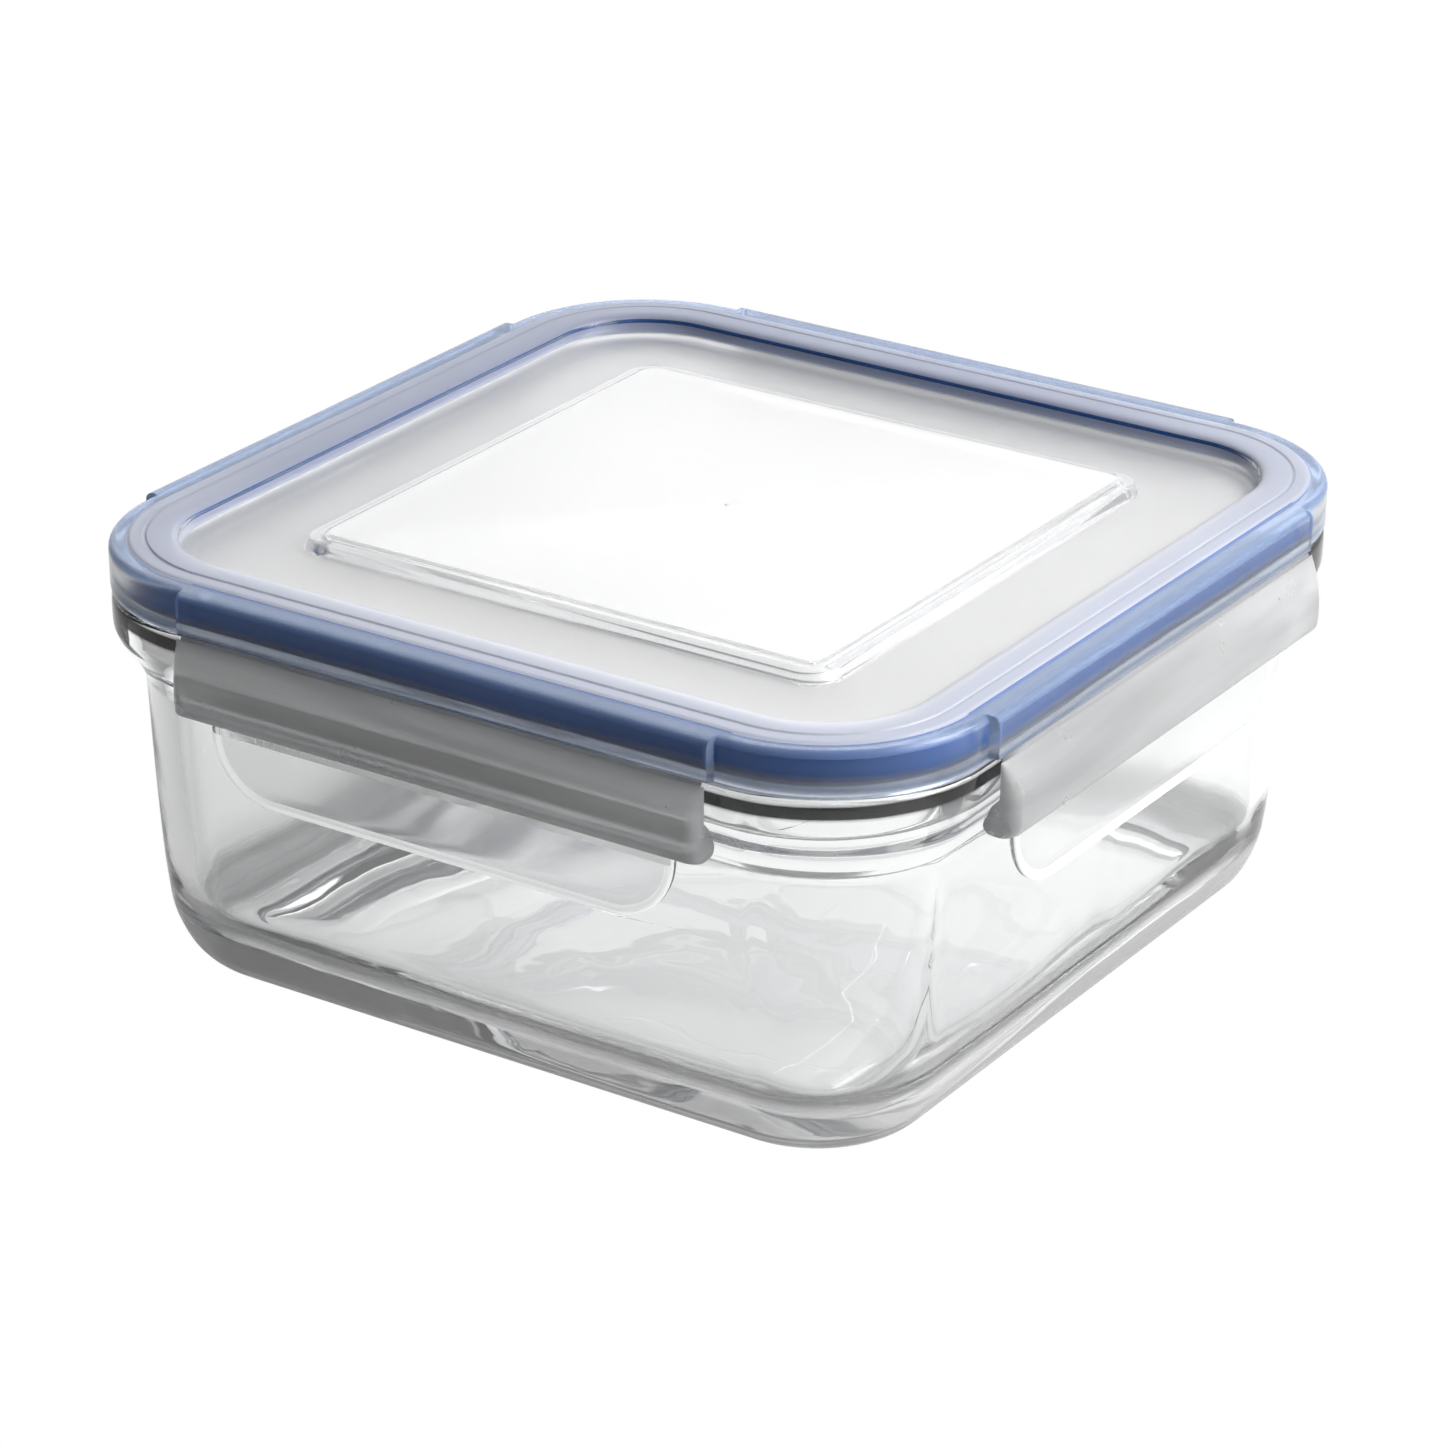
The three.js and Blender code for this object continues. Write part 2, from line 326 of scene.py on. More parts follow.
# Where the glass is painted dark or grey as shade, as heights and as distances out, in metres:
# the seat is the edge of the flange, painted dark as the shade of the lid's rim, and the heel is
# the wall's thick foot, painted grey as shade and made partly opaque.
SEAT_SHADE_HEIGHT = (0.0600, 0.0624)
SEAT_SHADE_REACH = (0.0735, 0.0745)
SEAT_SHADE_COLOUR = (0.002, 0.002, 0.002, 1)
HEEL_SHADE_HEIGHT = (0.0080, 0.0105)
HEEL_SHADE_REACH = (0.0600, 0.0625)
HEEL_SHADE_COLOUR = (0.58, 0.58, 0.58, 1)
HEEL_SHADE_OPACITY = 0.58


def glass_material():
    """Clear glass, with painted shade: grey and partly opaque in the heel, and dark at the seat."""
    m, nt, b = new_material("clear_pressed_glass")
    b.inputs["IOR"].default_value = GLASS_IOR
    reach = reach_node(nt)
    height = height_node(nt, noise_node(nt, 30.0, 2.0), 0.0003)
    # Painted shade: the seat, the flange's edge under the lid's rim, is painted near black.
    seat_shade_height = band_node(nt, height, *SEAT_SHADE_HEIGHT, 0.0003)
    seat_shade = math_node(nt, "MULTIPLY", seat_shade_height, map_range(nt, reach, *SEAT_SHADE_REACH, 0.0, 1.0))
    # Painted shade: the thick heel is painted grey and lets less light through.
    heel_shade_height = map_range(nt, height, *HEEL_SHADE_HEIGHT, 1.0, 0.0)
    heel_shade = math_node(nt, "MULTIPLY", heel_shade_height, map_range(nt, reach, *HEEL_SHADE_REACH, 0.0, 1.0))
    clear = ramp(nt, noise_node(nt, 9.0, 2.0), (0.975, 0.985, 0.985, 1), (0.99, 0.995, 0.995, 1))
    base = mix_colour(nt, heel_shade, mix_colour(nt, seat_shade, clear, SEAT_SHADE_COLOUR), HEEL_SHADE_COLOUR)
    nt.links.new(base, b.inputs["Base Color"])
    through = map_range(nt, heel_shade, 0.0, 1.0, 1.0, 1.0 - HEEL_SHADE_OPACITY)
    nt.links.new(through, b.inputs["Transmission Weight"])
    smudge = noise_node(nt, 26.0, 4.0, 0.6, 0.4)
    vary(nt, b.inputs["Roughness"], smudge, 0.0, 0.035, span=(0.5, 0.8))
    add_bump(nt, b, noise_node(nt, 38.0, 2.0, 0.4, 0.6), 0.0006, 0.25)
    return m


# Half the way, in metres, over which a far colour, a painted shade, takes over from the near one.
FAR_SHADE_BLEND = 0.03


def plastic_material(name, transmission, roughness, colour_low, colour_high, bump=0.04,
                     specular=0.55, shade_streak=1.0, glow=0.0, far_shade_colour=None):
    """Milky plastic. A far colour, painted shade, takes over towards the back left, where less light
    comes through; a streak above 1 runs the noise along the part, which on the thick slab makes
    streaks of painted shade; and glow, a painted highlight, makes the part give off light."""
    m, nt, b = new_material(name)
    b.inputs["Transmission Weight"].default_value = transmission
    b.inputs["IOR"].default_value = PLASTIC_IOR
    b.inputs["Specular IOR Level"].default_value = specular
    # A glow above 0 is a painted highlight.
    b.inputs["Emission Color"].default_value = (1, 1, 1, 1)
    b.inputs["Emission Strength"].default_value = glow
    colour = ramp(nt, noise_node(nt, 14.0, 3.0, stretch=shade_streak), colour_low, colour_high)
    if far_shade_colour:
        across = vector_node(nt, "DOT_PRODUCT", coords_node(nt), (0.7071, -0.7071, 0.0))
        near = map_range(nt, across, -FAR_SHADE_BLEND, FAR_SHADE_BLEND, 0.0, 1.0)
        colour = mix_colour(nt, near, far_shade_colour, colour)
    nt.links.new(colour, b.inputs["Base Color"])
    patch = noise_node(nt, 60.0, 4.0, 0.6)
    vary(nt, b.inputs["Roughness"], patch, roughness - 0.03, roughness + 0.05)
    add_bump(nt, b, noise_node(nt, 1600.0, 2.0), 0.00003, bump)
    return m


# The heights in metres between which the lid's skirt is hazy and painted dark blue-grey as shade.
HAZE_AND_SHADE_HEIGHT = (0.0639, 0.0657)
HAZE_SHADE_COLOUR = (0.19, 0.24, 0.34, 1)


def skirt_material():
    """The lid's outside: almost clear over the gasket, hazy in the band below it, and painted dark
    blue-grey there as shade.
    """
    m, nt, b = new_material("milky_polypropylene_skirt")
    b.inputs["IOR"].default_value = PLASTIC_IOR
    b.inputs["Specular IOR Level"].default_value = 0.1
    cloud = noise_node(nt, 22.0, 3.0)
    haze_and_shade = band_node(nt, height_node(nt, cloud, 0.0004), *HAZE_AND_SHADE_HEIGHT, 0.0007)
    clear = ramp(nt, cloud, (0.93, 0.94, 0.96, 1), (0.96, 0.965, 0.98, 1))
    # Painted shade: the hazy band below the gasket is painted dark blue-grey.
    nt.links.new(mix_colour(nt, haze_and_shade, clear, HAZE_SHADE_COLOUR), b.inputs["Base Color"])
    nt.links.new(map_range(nt, haze_and_shade, 0.0, 1.0, 0.992, 0.6), b.inputs["Transmission Weight"])
    vary(nt, b.inputs["Roughness"], noise_node(nt, 60.0, 4.0, 0.6), 0.12, 0.2)
    add_bump(nt, b, noise_node(nt, 1600.0, 2.0), 0.00003, 0.02)
    return m


def silicone_material():
    m, nt, b = new_material("blue_silicone")
    b.inputs["Specular IOR Level"].default_value = 0.08
    colour = ramp(nt, noise_node(nt, 30.0, 3.0), (0.001, 0.095, 0.36, 1), (0.002, 0.11, 0.41, 1))
    nt.links.new(colour, b.inputs["Base Color"])
    vary(nt, b.inputs["Roughness"], noise_node(nt, 80.0, 3.0), 0.42, 0.58)
    add_bump(nt, b, noise_node(nt, 1400.0, 2.0), 0.00004, 0.2)
    return m


GLASS = glass_material()
SILICONE = silicone_material()
WEB_PLASTIC = plastic_material(
    "hinge_polypropylene", 0.55, 0.4, (0.42, 0.43, 0.45, 1), (0.5, 0.51, 0.53, 1))

# The lid's plastics, and their places in its list of materials.
SKIRT, DECK, PANEL, RING, SHOULDER, LEDGE = range(6)
LID_PLASTICS = (
    skirt_material(),
    plastic_material(
        "milky_polypropylene_deck", 0.82, 0.42, (0.86, 0.86, 0.865, 1), (0.90, 0.90, 0.905, 1)),
    plastic_material(
        "milky_polypropylene_panel", 0.72, 0.36, (0.97, 0.97, 0.972, 1), (0.99, 0.99, 0.992, 1)),
    # The ring darkens towards the back left: painted shade.
    plastic_material(
        "milky_polypropylene_ring", 0.55, 0.30, (0.64, 0.66, 0.73, 1), (0.68, 0.70, 0.77, 1),
        bump=0.02, specular=0.22, far_shade_colour=(0.36, 0.39, 0.50, 1)),
    plastic_material(
        "milky_polypropylene_shoulder", 0.84, 0.22, (0.40, 0.57, 0.93, 1), (0.45, 0.61, 0.96, 1),
        bump=0.02, specular=0.12),
    plastic_material(
        "milky_polypropylene_ledge", 0.9, 0.1, (0.95, 0.95, 0.955, 1), (0.97, 0.97, 0.975, 1),
        bump=0.02, specular=0.6),
)

# The flaps' plastics, and their places in each flap's list of materials.
SLAB, LIP, BEAD = range(3)
FLAP_PLASTICS = (
    # The thick slab's grey noise is stretched level into streaks: painted shade, standing in for the dark
    # band that shows through the slab.
    plastic_material(
        "milky_polypropylene_thick", 0.62, 0.28, (0.46, 0.465, 0.47, 1), (0.74, 0.745, 0.75, 1),
        shade_streak=9.0),
    plastic_material(
        "clear_polypropylene_lip", 0.94, 0.12, (0.93, 0.935, 0.94, 1), (0.96, 0.965, 0.97, 1),
        bump=0.05),
    # The bead's near-white colour and glow are a painted highlight along the lip's edge.
    plastic_material(
        "bead_with_painted_highlight", 0.3, 0.15, (0.95, 0.95, 0.95, 1), (0.98, 0.98, 0.98, 1),
        bump=0.05, glow=0.3),
)


# ---- glass body -----------------------------------------------------------------------

# Half width and height, up the outside and then down the inside.
GLASS_OUTSIDE = [
    (54.3, 0.9), (55.5, 0.0), (62.3, 0.0), (63.7, 0.6), (65.2, 1.8), (66.6, 3.6), (67.7, 6.0),
    (68.6, 9.0), (69.2, 13.0), (69.9, 20.0), (70.7, 33.0), (71.35, 47.0), (71.65, 49.2), (72.4, 51.2),
    (73.4, 52.9), (74.5, 54.4), (75.4, 55.7), (76.0, 57.0), (76.2, 58.4), (76.2, 61.7), (75.8, 62.6),
    (75.0, 62.9), (73.5, 62.9), (73.2, 63.3), (73.1, 64.6), (72.5, 65.6), (71.7, 66.0),
]
GLASS_INSIDE = [
    (69.3, 66.0), (68.4, 65.6), (68.0, 64.8), (67.4, 61.0), (66.9, 50.0), (66.2, 35.0), (65.4, 20.0),
    (64.8, 14.5), (63.6, 10.8), (61.4, 8.0), (58.5, 6.5), (55.0, 6.0),
]
GLASS_FLOOR = 6.0
SIDE_COLUMNS = [-44, -38, -32, -26, -20, -13, -6.5, 0, 6.5, 13, 20, 26, 32, 38, 44]
# Unevenness of pressed glass: how far it goes in millimetres, its scale and its seed.
GLASS_WAVES = ((0.45, 0.04, 11), (0.2, 0.09, 5))
# There are no waves above WAVES_TOP, and below it they fade in over WAVES_FADE.
WAVES_TOP = 60.0
WAVES_FADE = 15.0


def waver(p, amount, scale, seed):
    q = Vector((p.x + seed, p.y - seed, p.z + 2 * seed)) * scale
    return amount * noise.noise(q)


def waved(points, z):
    """Moves the bowl's inside at one height: the walls in or out, and the floor up or down."""
    share = min(1.0, (WAVES_TOP - z) / WAVES_FADE)
    moved = []
    for p in points:
        n = Vector((p.x, p.y, 0)).normalized() if z > GLASS_FLOOR + 1 else Vector((0, 0, -1))
        moved.append(p + n * share * sum(waver(p, *wave) for wave in GLASS_WAVES))
    return moved


def glass_body():
    outer = smooth_profile(GLASS_OUTSIDE, 3, sharp=(0, 1, 2, 22))
    inner = smooth_profile(GLASS_INSIDE, 5, sharp=(0,))
    floor_rings = [(half, GLASS_FLOOR) for half in (52.0, 46.0, 38.0, 29.0, 19.5)]
    sections = [outline(half, z, columns=SIDE_COLUMNS) for half, z in outer]
    for half, z in inner + floor_rings:
        points = outline(half, z, max(corner_radius(half, z), 3.0), columns=SIDE_COLUMNS)
        sections.append(waved(points, z) if z < WAVES_TOP else points)
    obj = loft("glass_bowl", sections)
    sharpen(obj, 40)
    add_materials(obj, [GLASS])
    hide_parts("glass_body")
    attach(obj, "glass")


# ---- lid ------------------------------------------------------------------------------

PAD_COLUMNS = [-48.05, -47.8, -47.3, -36, -24, -12, 0, 12, 24, 36, 47.3, 47.8, 48.05]
# Each entry is half width, height, share of the pad's depth, and a corner radius or None.
LID_UNDER = [
    (45.0, 68.7, 0, 2.8), (45.6, 68.6, 0, 3.2), (46.6, 66.3, 0, 4.0), (56.0, 66.3, 0, None),
    (63.5, 66.3, 0, None),
    (64.6, 66.0, 0, None), (65.1, 65.3, 0, None), (65.3, 64.2, 0, None), (65.5, 64.0, 0, None),
    (66.2, 64.0, 0, None), (66.5, 64.2, 0, None), (66.6, 64.6, 0, None), (66.6, 69.9, 0, None),
    (66.8, 70.15, 0, None), (73.6, 70.25, 0, None), (73.9, 70.05, 0, None), (73.9, 63.6, 0, None),
    (74.2, 63.3, 0, None), (75.8, 63.3, 0, None), (76.15, 63.4, 0, None), (76.3, 63.65, 0, None),
    (76.3, 63.98, 0, None),
]
LID_OVER = [
    (76.3, 64.0, 0.85, None), (76.32, 64.15, 1, None), (76.35, 66.5, 1, None), (76.4, 69.2, 1, None),
    (76.35, 69.7, 1, None), (76.2, 70.1, 1, None), (75.9, 70.45, 0.97, None), (75.5, 70.7, 0.9, None),
    (75.1, 70.76, 0.8, None), (74.9, 70.76, 0.5, None), (74.6, 70.76, 0.2, None), (74.3, 70.75, 0.0, None),
    (73.9, 70.73, 0, None), (73.6, 70.72, 0, None), (73.4, 70.78, 0, None), (73.2, 70.98, 0, None),
    (73.0, 71.05, 0, None), (72.6, 71.07, 0, None), (71.2, 71.07, 0, None), (71.05, 70.95, 0, None),
    (70.9, 70.86, 0, None), (70.65, 70.88, 0, None), (70.45, 71.14, 0, None),
    (70.1, 71.2, 0, None), (67.6, 71.2, 0, None),
    (66.8, 71.17, 0, None), (66.2, 70.98, 0, None), (65.8, 70.6, 0, None), (65.6, 70.0, 0, None),
    (65.35, 69.4, 0, None), (65.0, 68.9, 0, None), (64.5, 68.5, 0, None), (63.7, 68.15, 0, None),
    (62.7, 67.95, 0, None), (61.4, 67.9, 0, None), (56.0, 67.9, 0, 11.0),
    (49.1, 67.9, 0, 6.3), (48.75, 67.98, 0, 5.95), (48.5, 68.2, 0, 5.7), (48.35, 68.8, 0, 5.55),
    (48.2, 69.35, 0, 5.4), (48.05, 69.6, 0, 5.25), (47.7, 69.72, 0, 4.9), (46.9, 69.82, 0, 4.1),
    (46.7, 69.78, 0, 3.95), (46.5, 69.84, 0, 3.8), (45.9, 69.95, 0, 3.4), (45.6, 70.05, 0, 3.2),
    (45.35, 70.22, 0, 3.0), (45.1, 70.3, 0, 2.85), (44.6, 70.3, 0, 2.6),
]
# The centre of the panel: round steps in to the moulding gate's small dimple.
GATE = [(3.0, 70.3), (2.0, 70.29), (1.7, 70.2), (1.2, 70.18), (0.55, 70.18), (0.4, 70.36), (0.2, 70.38)]

# A face of the lid with at least this much of its normal upward is part of its top.
UPWARD = 0.35
# The shoulder's plastic also covers the pads' ends, within this of PAD_HALF and above this.
PAD_END_BAND = 0.3
PAD_END_FOOT = 66.3


def lid_plastic(face):
    """The place in LID_PLASTICS of the plastic that a face is made of."""
    x, y = (abs(c) / MM for c in face.center.xy)
    reach = CORNER_CENTRE + math.hypot(max(x - CORNER_CENTRE, 0.0), max(y - CORNER_CENTRE, 0.0))
    if reach > DECK_EDGE:
        upward = face.normal.z > UPWARD
        pad_end = abs(min(x, y) - PAD_HALF) < PAD_END_BAND and reach > PAD_FACE
        if (upward and reach > SHOULDER_EDGE) or (pad_end and face.center.z > PAD_END_FOOT * MM):
            return SHOULDER
        return RING if upward else SKIRT
    half = max(x, y)
    return DECK if half > PANEL_EDGE else LEDGE if half > PANEL_BORDER else PANEL


def lid_shell():
    sections = [outline(half, z, radius, share * PAD_DEPTH, PAD_COLUMNS)
                for half, z, share, radius in LID_UNDER + LID_OVER]
    sections += [outline(half, z, half * 0.999, 0, PAD_COLUMNS) for half, z in GATE]
    obj = loft("lid_moulding", sections)
    sharpen(obj, 38)
    add_materials(obj, LID_PLASTICS)
    for face in obj.data.polygons:
        face.material_index = lid_plastic(face)
    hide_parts("lid_shell")
    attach(obj, "lid")


# Once round the gasket's section, half width and height.
GASKET = [
    (67.0, 66.9), (67.3, 66.4), (67.9, 66.25), (70.5, 66.2), (72.6, 66.2), (73.2, 66.1), (73.38, 65.8),
    (73.4, 65.2), (73.45, 64.8), (73.6, 64.72), (73.72, 64.85), (73.78, 65.3), (73.82, 67.5), (73.8, 69.6),
    (73.65, 70.0), (73.3, 70.15), (72.6, 70.18), (68.0, 70.08), (67.4, 69.95), (67.05, 69.6), (66.96, 68.0),
]


def gasket():
    sections = [outline(half, z, columns=(-30, 0, 30)) for half, z in GASKET]
    obj = loft("gasket_ring", sections, closed=True)
    sharpen(obj, 50)
    add_materials(obj, [SILICONE])
    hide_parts("gasket")
    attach(obj, "lid")


# ---- flaps ----------------------------------------------------------------------------

FLAP_HALF = 47.6
FLAP_FACE = 80.85
FLAP_INNER = 78.15
FLAP_END_RADIUS = 2.2
FLAP_END_STEPS = 8
# How far the catch draws back to the inner face at the very ends, as a share of its depth.
CATCH_DRAW_BACK = 0.12
# Once round the flap's section, distance out and height: the inner face, the bulging outer
# face, the foot with its lip root, and the catch that hooks under the glass.
SLAB_PROFILE = [
    (78.15, 57.85), (78.15, 63.3), (78.2, 63.5), (78.32, 63.6), (78.5, 63.52), (78.85, 63.1), (79.3, 62.4),
    (79.8, 61.45), (80.2, 60.4), (80.52, 59.1), (80.75, 57.4), (80.85, 55.6), (80.82, 54.2), (80.74, 53.3),
    (80.6, 52.6), (80.35, 52.1), (79.95, 51.85), (79.4, 51.8), (77.6, 51.8), (76.2, 51.9), (75.7, 52.12),
    (75.3, 52.5), (75.12, 53.0), (75.15, 53.4), (75.35, 53.95), (75.75, 54.7), (76.15, 55.6), (76.6, 56.35),
    (77.2, 57.0), (77.8, 57.5),
]


def slab_mesh():
    """The bulging slab with its catch, drawn along the flap with rounded upright ends."""
    # Places along the flap, each with how far it is into the rounding of the end, 1 to 0.
    end = []
    for k in range(FLAP_END_STEPS + 1):
        a = k / FLAP_END_STEPS * math.pi / 2
        end.append((-FLAP_HALF + FLAP_END_RADIUS * (1 - math.cos(a)), 1 - math.sin(a)))
    middle = [(s, 0.0) for s in (-38, -30, -22, -14, -6, 6, 14, 22, 30, 38)]
    rings = []
    for s, share in end + middle + [(-s, share) for s, share in reversed(end)]:
        ring = []
        for out, z in SLAB_PROFILE:
            if out > FLAP_INNER:
                out -= (out - FLAP_INNER) * share * FLAP_END_RADIUS / (FLAP_FACE - FLAP_INNER)
            else:
                out += (FLAP_INNER - out) * share * CATCH_DRAW_BACK
            ring.append((out, s, z))
        rings.append(ring)
    return bar_mesh(rings)


LIP_HALF = 42.0
LIP_BOTTOM = 39.1
LIP_CORNER = 11.0
LIP_ROOT = 52.2
LIP_FACE = 77.35
LIP_CORNER_STEPS = 16
# Across the lip: inset from its edge, and distance out. The edge is a rounded bead.
LIP_SECTION = [
    (3.2, 76.45), (1.6, 76.45), (1.2, 76.42), (0.6, 76.42), (0.25, 76.5), (0.05, 76.7), (0.0, 76.95),
    (0.0, 77.35), (0.06, 77.6), (0.25, 77.8), (0.5, 77.86), (0.75, 77.8), (0.95, 77.62), (1.15, 77.42),
    (1.5, 77.35), (3.2, 77.35),
]


def lip_mesh():
    """The thin pull lip, with a raised bead round its free edge."""
    straight_end = LIP_BOTTOM + LIP_CORNER + 0.4
    points, normals = [(-LIP_HALF, LIP_ROOT), (-LIP_HALF, straight_end)], [(-1, 0), (-1, 0)]
    for cy, start in ((-LIP_HALF + LIP_CORNER, 180), (LIP_HALF - LIP_CORNER, 270)):
        for k in range(LIP_CORNER_STEPS + 1):
            a = math.radians(start + 90 * k / LIP_CORNER_STEPS)
            z = LIP_BOTTOM + LIP_CORNER + LIP_CORNER * math.sin(a)
            points.append((cy + LIP_CORNER * math.cos(a), z))
            normals.append((math.cos(a), math.sin(a)))
    points += [(LIP_HALF, straight_end), (LIP_HALF, LIP_ROOT)]
    normals += [(1, 0), (1, 0)]
    bm = bmesh.new()
    rings = []
    for inset, out in LIP_SECTION:
        ring = []
        for (y, z), (ny, nz) in zip(points, normals):
            ring.append(bm.verts.new(Vector((out, y - ny * inset, z - nz * inset)) * MM))
        rings.append(ring)
    count = len(points)
    for a, b in zip(rings, rings[1:]):
        for k in range(count - 1):
            bm.faces.new((a[k], b[k], b[k + 1], a[k + 1]))
    bm.faces.new(rings[0])
    bm.faces.new(list(reversed(rings[-1])))
    bm.faces.new([r[0] for r in rings])
    bm.faces.new([r[-1] for r in reversed(rings)])
    return bm


# Once round the section of the step at the lip's root, distance out and height.
LIP_ROOT_PROFILE = [
    (76.6, 52.3), (76.6, 49.6), (77.3, 49.2), (77.6, 49.25), (77.82, 49.5), (77.9, 49.8), (77.95, 50.4),
    (78.15, 51.0), (78.6, 51.5), (79.2, 51.75), (79.3, 52.3),
]


def lip_root_mesh():
    """The rounded step where the lip leaves the foot of the slab; its proud faces carry the bead's painted
    highlight.
    """
    spots = spread(LIP_HALF - 0.3, 12)
    return bar_mesh([[(out, s, z) for out, z in LIP_ROOT_PROFILE] for s in spots])


def join_solid(obj, other):
    """Unites another closed mesh with obj and removes it."""
    join = obj.modifiers.new("join", "BOOLEAN")
    join.operation = "UNION"
    join.solver = "EXACT"
    join.object = other
    apply_modifiers(obj)
    bpy.data.objects.remove(other)


def flap(side, body, turn):
    slab = finish_mesh(f"flap_{side}_slab_and_catch", slab_mesh())
    lip = finish_mesh(f"lip_{side}_tool", lip_mesh())
    root = finish_mesh(f"lip_root_{side}_tool", lip_root_mesh())
    for piece in (slab, lip, root):
        add_materials(piece, FLAP_PLASTICS)
    for piece in (lip, root):
        for face in piece.data.polygons:
            # Proud faces take the bead's plastic, with its painted highlight.
            proud = face.center.x > LIP_FACE * MM + 1e-5 and face.normal.z < 0.9
            face.material_index = BEAD if proud else LIP
    join_solid(lip, root)
    join_solid(slab, lip)
    slab.data.shade_smooth()
    slab.data.transform(Matrix.Rotation(turn, 4, "Z"))
    sharpen(slab, 42)
    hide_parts(f"flap_{side}", f"catch_rib_{side}")
    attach(slab, body)


WEB_HALF = 46.9
WEB_TOP = 64.03
WEB_DROP = 0.6
WEB_INNER = 77.5
WEB_OUTER = 77.95
WEB_LEAN = 0.35
WEB_WAIST = 0.1
WEB_STEPS = 8


def hinge_web(side, turn):
    """The living hinge, thinnest in the middle, between the pad and the flap."""
    rows = []
    for k in range(WEB_STEPS + 1):
        t = k / WEB_STEPS
        lean = WEB_LEAN * t
        waist = WEB_WAIST * math.sin(math.pi * t)
        rows.append((WEB_INNER + lean + waist, WEB_OUTER + lean - waist, WEB_TOP - t * WEB_DROP))
    spots = spread(WEB_HALF, 12)
    bm = bmesh.new()
    inner = [[bm.verts.new(Vector((a, s, z)) * MM) for s in spots] for a, b, z in rows]
    outer = [[bm.verts.new(Vector((b, s, z)) * MM) for s in spots] for a, b, z in rows]
    for r in range(WEB_STEPS):
        for k in range(len(spots) - 1):
            bm.faces.new((outer[r][k], outer[r + 1][k], outer[r + 1][k + 1], outer[r][k + 1]))
            bm.faces.new((inner[r][k], inner[r][k + 1], inner[r + 1][k + 1], inner[r + 1][k]))
        for k in (0, -1):
            bm.faces.new((outer[r][k], inner[r][k], inner[r + 1][k], outer[r + 1][k]))
    for r in (0, -1):
        for k in range(len(spots) - 1):
            bm.faces.new((outer[r][k], outer[r][k + 1], inner[r][k + 1], inner[r][k]))
    obj = finish_mesh(f"living_hinge_{side}", bm)
    obj.data.transform(Matrix.Rotation(turn, 4, "Z"))
    add_materials(obj, [WEB_PLASTIC])
    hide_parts(f"hinge_web_{side}")
    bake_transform(obj)


glass_body()
lid_shell()
gasket()
for side_name, side_body, side_turn in SIDES:
    flap(side_name, side_body, side_turn)
    hinge_web(side_name, side_turn)


# ---- floor, light and camera ----------------------------------------------------------

# The floor's glow rises along a direction, between two places in metres. Under the object
# it is less by CONTACT_SHADE, which sets in and dies out over these distances out.
FLOOR_DIFFUSE = 0.15
FLOOR_RISE = (0.45, 0.9, 0.0)
FLOOR_SPAN = (-0.22, 0.06)
FLOOR_GLOW = (0.24, 0.80)
CONTACT_SHADE = 0.35
SHADE_IN = (0.050, 0.060)
SHADE_OUT = (0.070, 0.095)
# A direction, the two cosines between which the light rises, and how much it adds.
ROOM_LIGHT = (
    ((0.0, 1.0, 0.25), -0.1, 0.6, 0.75),
    ((-0.45, 0.7, 0.55), 0.7, 0.97, 0.95),
    ((1.0, 0.25, 0.15), 0.3, 0.85, 0.9),
    ((-1.0, 0.15, 0.1), 0.5, 0.95, 0.25),
    ((0.0, 0.0, 1.0), 0.5, 1.0, 0.4),
)
ROOM_BASE = 0.12
# Name, place, point it faces, width of its square and power.
SOFTBOXES = (
    ("softbox_above", (0.42, 0.22, 0.55), (0, 0, 0.06), 0.4, 4.2),
    ("softbox_right", (0.42, 0.05, 0.30), (0.04, 0, 0.07), 0.3, 1.2),
)
# The camera: azimuth, elevation and roll in degrees; the point it turns about; how far
# back it is from that point and how far it is moved right and up; and its lens.
CAMERA_ANGLES = (33.332, 24.076, 0.319)
CAMERA_TARGET = (0, 0, 0.040)
CAMERA_BACK = 0.829211
CAMERA_RIGHT = -0.000658
CAMERA_UP = -0.006583
CAMERA_LENS = 129.93


def white_to_camera(nt, shader, white, surface):
    """Gives a surface plain white for the camera, and the shader for all other light."""
    path = nt.nodes.new("ShaderNodeLightPath")
    mix = nt.nodes.new("ShaderNodeMixShader")
    nt.links.new(path.outputs["Is Camera Ray"], mix.inputs["Fac"])
    nt.links.new(shader, mix.inputs[1])
    nt.links.new(white, mix.inputs[2])
    nt.links.new(mix.outputs["Shader"], surface)


def floor():
    """A white sweep. It is pure white as the background; what the object is lit by and what
    shows through it is brighter behind and to the right, and dim in front and on the left."""
    bm = bmesh.new()
    bmesh.ops.create_grid(bm, x_segments=2, y_segments=2, size=6.0)
    obj = finish_mesh("studio_floor", bm, smooth=False)
    obj.location.z = -0.0002
    m, nt, b = new_material("pale_studio_floor")
    b.inputs["Base Color"].default_value = (FLOOR_DIFFUSE,) * 3 + (1,)
    b.inputs["Roughness"].default_value = 0.9
    b.inputs["Specular IOR Level"].default_value = 0.1
    b.inputs["Emission Color"].default_value = (1, 1, 1, 1)
    along = vector_node(nt, "DOT_PRODUCT", coords_node(nt), Vector(FLOOR_RISE).normalized())
    glow = map_range(nt, along, *FLOOR_SPAN, *FLOOR_GLOW, smooth=True)
    reach = reach_node(nt)
    inside = map_range(nt, reach, *SHADE_IN, 0.0, CONTACT_SHADE)
    outside = map_range(nt, reach, *SHADE_OUT, 1.0, 0.0)
    lit = math_node(nt, "SUBTRACT", 1.0, math_node(nt, "MULTIPLY", inside, outside))
    nt.links.new(math_node(nt, "MULTIPLY", lit, glow), b.inputs["Emission Strength"])
    white = nt.nodes.new("ShaderNodeEmission")
    surface = nt.nodes["Material Output"].inputs["Surface"]
    white_to_camera(nt, b.outputs["BSDF"], white.outputs["Emission"], surface)
    add_materials(obj, [m])


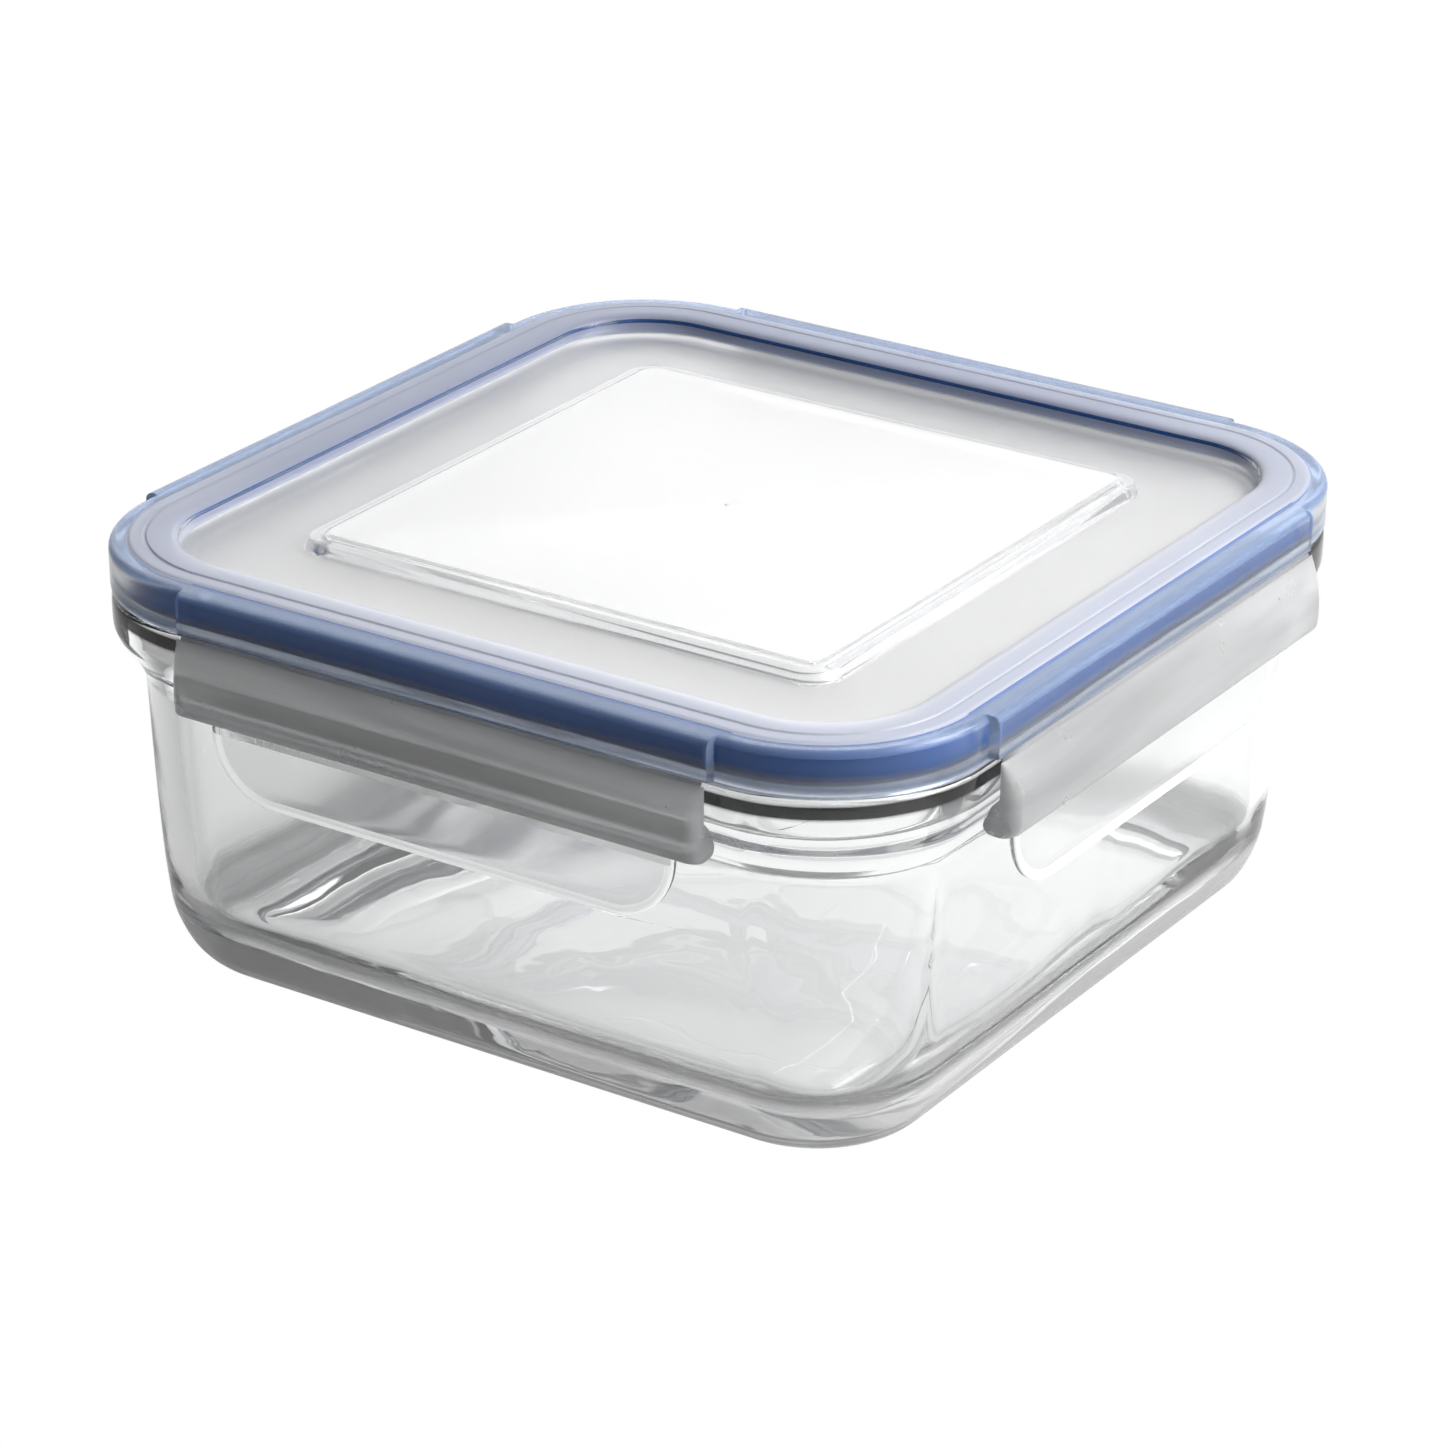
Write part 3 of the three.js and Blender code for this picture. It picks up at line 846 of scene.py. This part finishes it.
def area_light(name, at, look, width, power):
    data = bpy.data.lights.new(name, "AREA")
    data.shape = "RECTANGLE"
    data.size = data.size_y = width
    data.energy = power
    obj = bpy.data.objects.new(name, data)
    obj.location = at
    obj.rotation_mode = "QUATERNION"
    obj.rotation_quaternion = (Vector(look) - Vector(at)).to_track_quat("-Z", "Y")
    bpy.context.scene.collection.objects.link(obj)


def world():
    """A white room that is brighter behind and to the right, and dim towards the front."""
    w = bpy.data.worlds.new("studio")
    bpy.context.scene.world = w
    w.use_nodes = True
    nt = w.node_tree
    nt.nodes.clear()
    coords = coords_node(nt, "Generated")
    level = ROOM_BASE
    for direction, low, high, strength in ROOM_LIGHT:
        toward = vector_node(nt, "DOT_PRODUCT", coords, Vector(direction).normalized())
        level = math_node(nt, "ADD", level, map_range(nt, toward, low, high, 0.0, strength, smooth=True))
    room = nt.nodes.new("ShaderNodeBackground")
    nt.links.new(level, room.inputs["Strength"])
    white = nt.nodes.new("ShaderNodeBackground")
    surface = nt.nodes.new("ShaderNodeOutputWorld").inputs["Surface"]
    white_to_camera(nt, room.outputs["Background"], white.outputs["Background"], surface)


def camera():
    azimuth, elevation, roll = (math.radians(a) for a in CAMERA_ANGLES)
    level_part = math.cos(elevation)
    back = Vector((math.sin(azimuth) * level_part, -math.cos(azimuth) * level_part, math.sin(elevation)))
    right = Vector((math.cos(azimuth), math.sin(azimuth), 0))
    up = back.cross(right)
    c, s = math.cos(roll), math.sin(roll)
    right, up = right * c + up * s, up * c - right * s
    place = Vector(CAMERA_TARGET) + back * CAMERA_BACK + right * CAMERA_RIGHT + up * CAMERA_UP
    data = bpy.data.cameras.new("camera")
    data.sensor_width = 36.0
    data.lens = CAMERA_LENS
    data.clip_start, data.clip_end = 0.01, 50
    obj = bpy.data.objects.new("camera", data)
    obj.matrix_world = Matrix.Translation(place) @ Matrix((right, up, back)).transposed().to_4x4()
    bpy.context.scene.collection.objects.link(obj)
    bpy.context.scene.camera = obj


floor()
world()
camera()
for softbox in SOFTBOXES:
    area_light(*softbox)

scene = bpy.context.scene
scene.view_settings.view_transform = "Standard"
scene.cycles.max_bounces = 24
scene.cycles.transmission_bounces = 20
scene.cycles.transparent_max_bounces = 16
scene.cycles.glossy_bounces = 8
